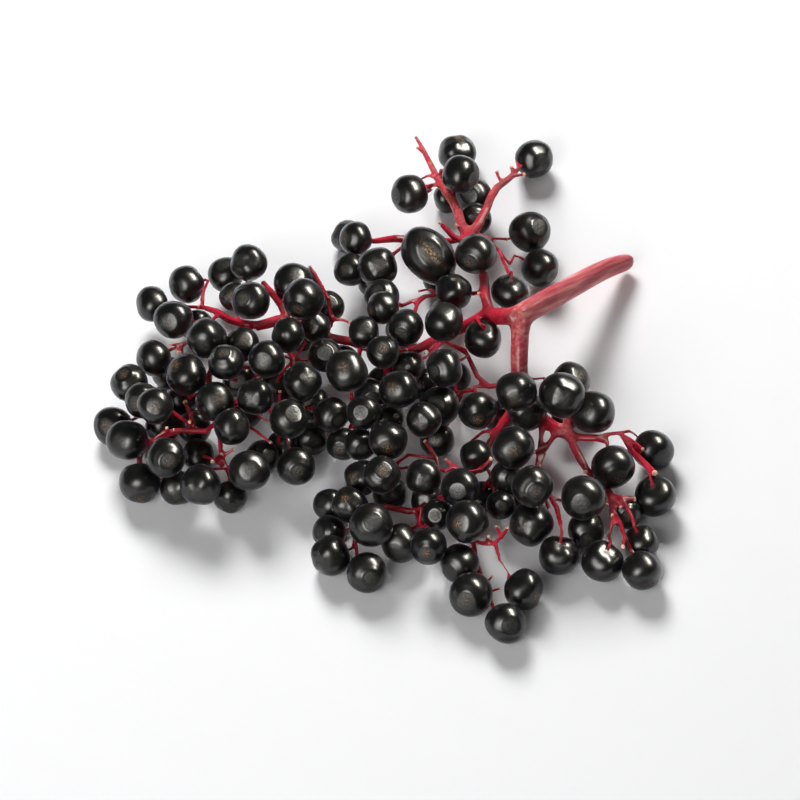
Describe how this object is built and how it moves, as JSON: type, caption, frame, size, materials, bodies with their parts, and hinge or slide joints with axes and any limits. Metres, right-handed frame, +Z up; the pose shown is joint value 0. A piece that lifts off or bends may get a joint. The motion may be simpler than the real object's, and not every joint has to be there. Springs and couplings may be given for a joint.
{
  "type": "elderberry cluster",
  "caption": "Picked cluster of ripe elderberries lying on a table: a forked crimson stem with small glossy near-black berries on thin stalks.",
  "frame": {"origin": "on the table that the cluster lies on, under the middle of its bounding box", "axes": "+Z up from the table; the cut main stalk runs to the back right, towards +X and +Y; the loose lowest sprigs point to the front, towards -Y"},
  "size_m": [0.0962, 0.1082, 0.0193],
  "materials": {
    "berry_skin": "waxy gloss, near-black ripe fruit skin",
    "stem": "satin crimson plant stem"
  },
  "bodies": {
    "root": {"branch_left": "stem", "branch_low": "stem", "branch_up": "stem", "main_stalk": "stem", "ray_left": "stem", "ray_left_front": "stem", "ray_low": "berry_skin", "ray_right": "berry_skin", "ray_right_front": "stem", "ray_top_left": "stem", "ray_top_right": "berry_skin", "sprig_left_back": "berry_skin", "sprig_left_bay": "berry_skin", "sprig_left_corner": "berry_skin", "sprig_left_crown": "berry_skin", "sprig_left_edge": "berry_skin", "sprig_left_front": "berry_skin", "sprig_left_heart": "berry_skin", "sprig_left_low": "berry_skin", "sprig_left_nose": "berry_skin", "sprig_left_side": "berry_skin", "sprig_left_tip": "berry_skin", "sprig_left_top": "berry_skin", "sprig_low_edge": "berry_skin", "sprig_low_far": "berry_skin", "sprig_low_front": "berry_skin", "sprig_low_hook": "berry_skin", "sprig_low_left": "berry_skin", "sprig_low_right": "berry_skin", "sprig_middle_back": "berry_skin", "sprig_middle_core": "berry_skin", "sprig_middle_drop": "berry_skin", "sprig_middle_high": "berry_skin", "sprig_middle_left": "berry_skin", "sprig_middle_right": "berry_skin", "sprig_middle_top": "berry_skin", "sprig_right_drop": "berry_skin", "sprig_right_far": "berry_skin", "sprig_right_front": "berry_skin", "sprig_right_hook": "berry_skin", "sprig_right_inner": "berry_skin", "sprig_right_mid": "berry_skin", "sprig_right_near": "berry_skin", "sprig_right_side": "berry_skin", "sprig_right_top": "berry_skin", "sprig_top_core": "berry_skin", "sprig_top_front": "berry_skin", "sprig_top_inner": "berry_skin", "sprig_top_left": "berry_skin", "sprig_top_middle": "berry_skin", "sprig_top_pair": "berry_skin", "sprig_top_right": "berry_skin", "sprig_top_tip": "berry_skin"}
  },
  "joints": []
}
